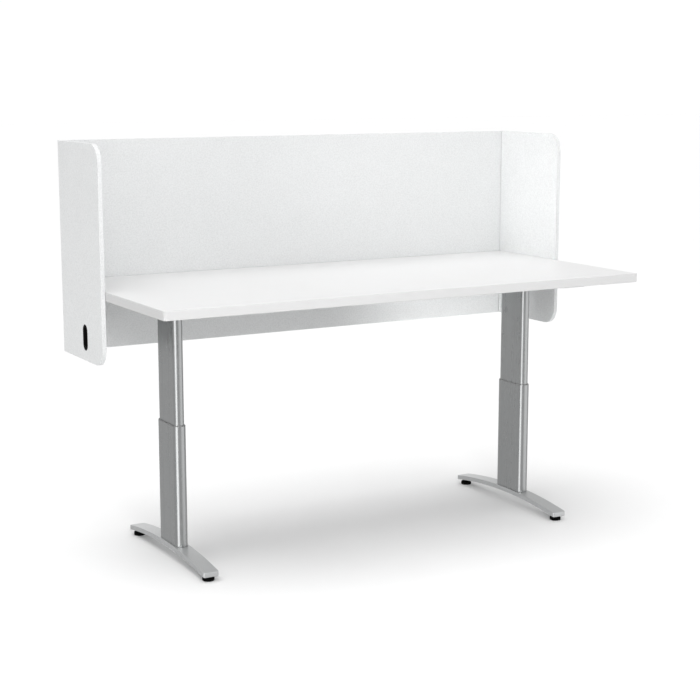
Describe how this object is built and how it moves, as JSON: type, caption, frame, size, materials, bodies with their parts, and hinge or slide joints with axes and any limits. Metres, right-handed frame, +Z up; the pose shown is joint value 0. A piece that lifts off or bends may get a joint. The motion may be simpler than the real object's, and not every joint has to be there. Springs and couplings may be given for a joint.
{
  "type": "study carrel",
  "caption": "Height-adjustable study desk on two telescopic T-legs, with a folded white felt screen round its back and both sides.",
  "frame": {"origin": "on the floor, under the centre of the overall footprint", "axes": "+Z up, +X to the right of a sitter at the desk, +Y from the sitter towards the back screen"},
  "size_m": [1.525, 0.7124, 1.151],
  "materials": {
    "laminate": "white laminate, matte",
    "felt": "white pressed polyester felt with a fine fleck",
    "anodised": "satin anodised extrusion",
    "foot_silver": "fine textured silver powder coat",
    "frame_silver": "satin silver powder coat",
    "gearbox": "matte die casting",
    "drive_steel": "satin turned steel",
    "bronze": "satin machined bronze",
    "nylon": "matte glide plastic",
    "black_plastic": "matte moulded plastic",
    "pad": "matte rubber"
  },
  "bodies": {
    "base": {"foot_left": "foot_silver", "base_plate_left": "drive_steel", "lower_column_left": "anodised", "glide_collar_left": "nylon", "nut_tube_left": "drive_steel", "screw_nut_left": "bronze", "foot_bolt_left_front": "drive_steel", "foot_bolt_left_rear": "drive_steel", "foot_right": "foot_silver", "base_plate_right": "drive_steel", "lower_column_right": "anodised", "glide_collar_right": "nylon", "nut_tube_right": "drive_steel", "screw_nut_right": "bronze", "foot_bolt_right_front": "drive_steel", "foot_bolt_right_rear": "drive_steel"},
    "top": {"desktop": "laminate", "screen_back_panel": "felt", "screen_left_wing": "felt", "screen_right_wing": "felt", "cable_port_grommet": "black_plastic", "cross_rail_front": "frame_silver", "cross_rail_rear": "frame_silver", "shaft_bearing_block": "nylon", "upper_column_left": "anodised", "bottom_slider_left": "nylon", "support_arm_left": "frame_silver", "gearbox_housing_left": "gearbox", "gearbox_lid_left": "gearbox", "screw_bearing_left": "drive_steel", "screen_bracket_back_left": "frame_silver", "screen_bracket_wing_left": "frame_silver", "upper_column_right": "anodised", "bottom_slider_right": "nylon", "support_arm_right": "frame_silver", "gearbox_housing_right": "gearbox", "gearbox_lid_right": "gearbox", "screw_bearing_right": "drive_steel", "screen_bracket_back_right": "frame_silver", "screen_bracket_wing_right": "frame_silver"},
    "pad_left_front": {"levelling_pad_left_front": "pad", "levelling_stud_left_front": "drive_steel"},
    "pad_left_rear": {"levelling_pad_left_rear": "pad", "levelling_stud_left_rear": "drive_steel"},
    "lift_screw_left": {"lift_screw_left": "drive_steel", "screw_gear_left": "drive_steel"},
    "pad_right_front": {"levelling_pad_right_front": "pad", "levelling_stud_right_front": "drive_steel"},
    "pad_right_rear": {"levelling_pad_right_rear": "pad", "levelling_stud_right_rear": "drive_steel"},
    "lift_screw_right": {"lift_screw_right": "drive_steel", "screw_gear_right": "drive_steel"},
    "cross_shaft": {"cross_shaft": "drive_steel", "crank_socket": "black_plastic", "shaft_pinion_left": "drive_steel", "shaft_pinion_right": "drive_steel"}
  },
  "joints": [
    {"name": "desk_lift", "type": "slide", "parent": "base", "child": "top", "axis": [0, 0, 1], "range_m": [-0.108, 0.092]},
    {"name": "lift_screw_left_turn", "type": "hinge", "parent": "top", "child": "lift_screw_left", "pos_m": [-0.578, 0.01275, 0.44], "axis": [0, 0, 1], "range_deg": [-9730, 8290]},
    {"name": "lift_screw_right_turn", "type": "hinge", "parent": "top", "child": "lift_screw_right", "pos_m": [0.578, 0.01275, 0.44], "axis": [0, 0, 1], "range_deg": [-9730, 8290]},
    {"name": "cross_shaft_turn", "type": "hinge", "parent": "top", "child": "cross_shaft", "pos_m": [0, 0.01275, 0.7145], "axis": [1, 0, 0], "range_deg": [-9730, 8290]},
    {"name": "pad_left_front_level", "type": "slide", "parent": "base", "child": "pad_left_front", "axis": [0, 0, 1], "range_m": [-0.006, 0]},
    {"name": "pad_left_rear_level", "type": "slide", "parent": "base", "child": "pad_left_rear", "axis": [0, 0, 1], "range_m": [-0.006, 0]},
    {"name": "pad_right_front_level", "type": "slide", "parent": "base", "child": "pad_right_front", "axis": [0, 0, 1], "range_m": [-0.006, 0]},
    {"name": "pad_right_rear_level", "type": "slide", "parent": "base", "child": "pad_right_rear", "axis": [0, 0, 1], "range_m": [-0.006, 0]}
  ],
  "couplings": [
    {"joint": "lift_screw_left_turn", "follows": "desk_lift", "rad_per_m": 1570.8},
    {"joint": "lift_screw_right_turn", "follows": "desk_lift", "rad_per_m": 1570.8},
    {"joint": "cross_shaft_turn", "follows": "desk_lift", "rad_per_m": 1570.8}
  ]
}
